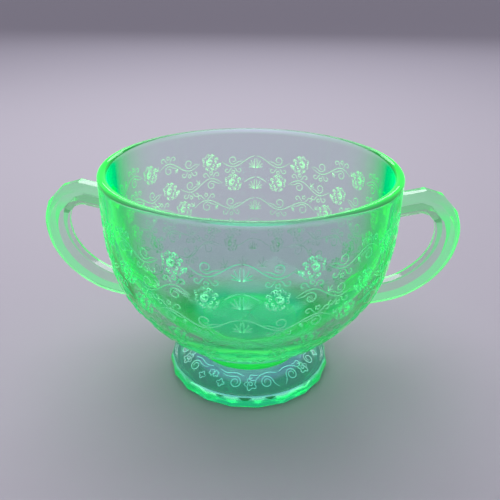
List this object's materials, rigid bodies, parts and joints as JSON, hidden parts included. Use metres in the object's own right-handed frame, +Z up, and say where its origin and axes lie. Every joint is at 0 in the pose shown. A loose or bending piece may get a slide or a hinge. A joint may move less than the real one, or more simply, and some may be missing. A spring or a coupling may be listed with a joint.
{
  "type": "two-handled footed bowl",
  "caption": "Round open bowl of pressed green uranium glass on a low flared foot, with a faceted ear handle on each side.",
  "frame": {"origin": "on the turning axis, at the surface that the foot stands on", "axes": "+Z up along the turning axis, +X along the right-hand handle, +Y towards the back"},
  "size_m": [0.1378, 0.096, 0.075],
  "materials": {
    "bowl_glass": "clear green pressed glass, fire polished",
    "collar_glass": "clear green pressed glass, fire polished",
    "foot_glass": "clear green pressed glass, fire polished",
    "handle_glass": "clear green pressed glass, faceted"
  },
  "bodies": {
    "root": {"bowl": "bowl_glass", "collar": "collar_glass", "foot": "foot_glass", "handle_left": "handle_glass", "handle_right": "handle_glass"}
  },
  "joints": []
}
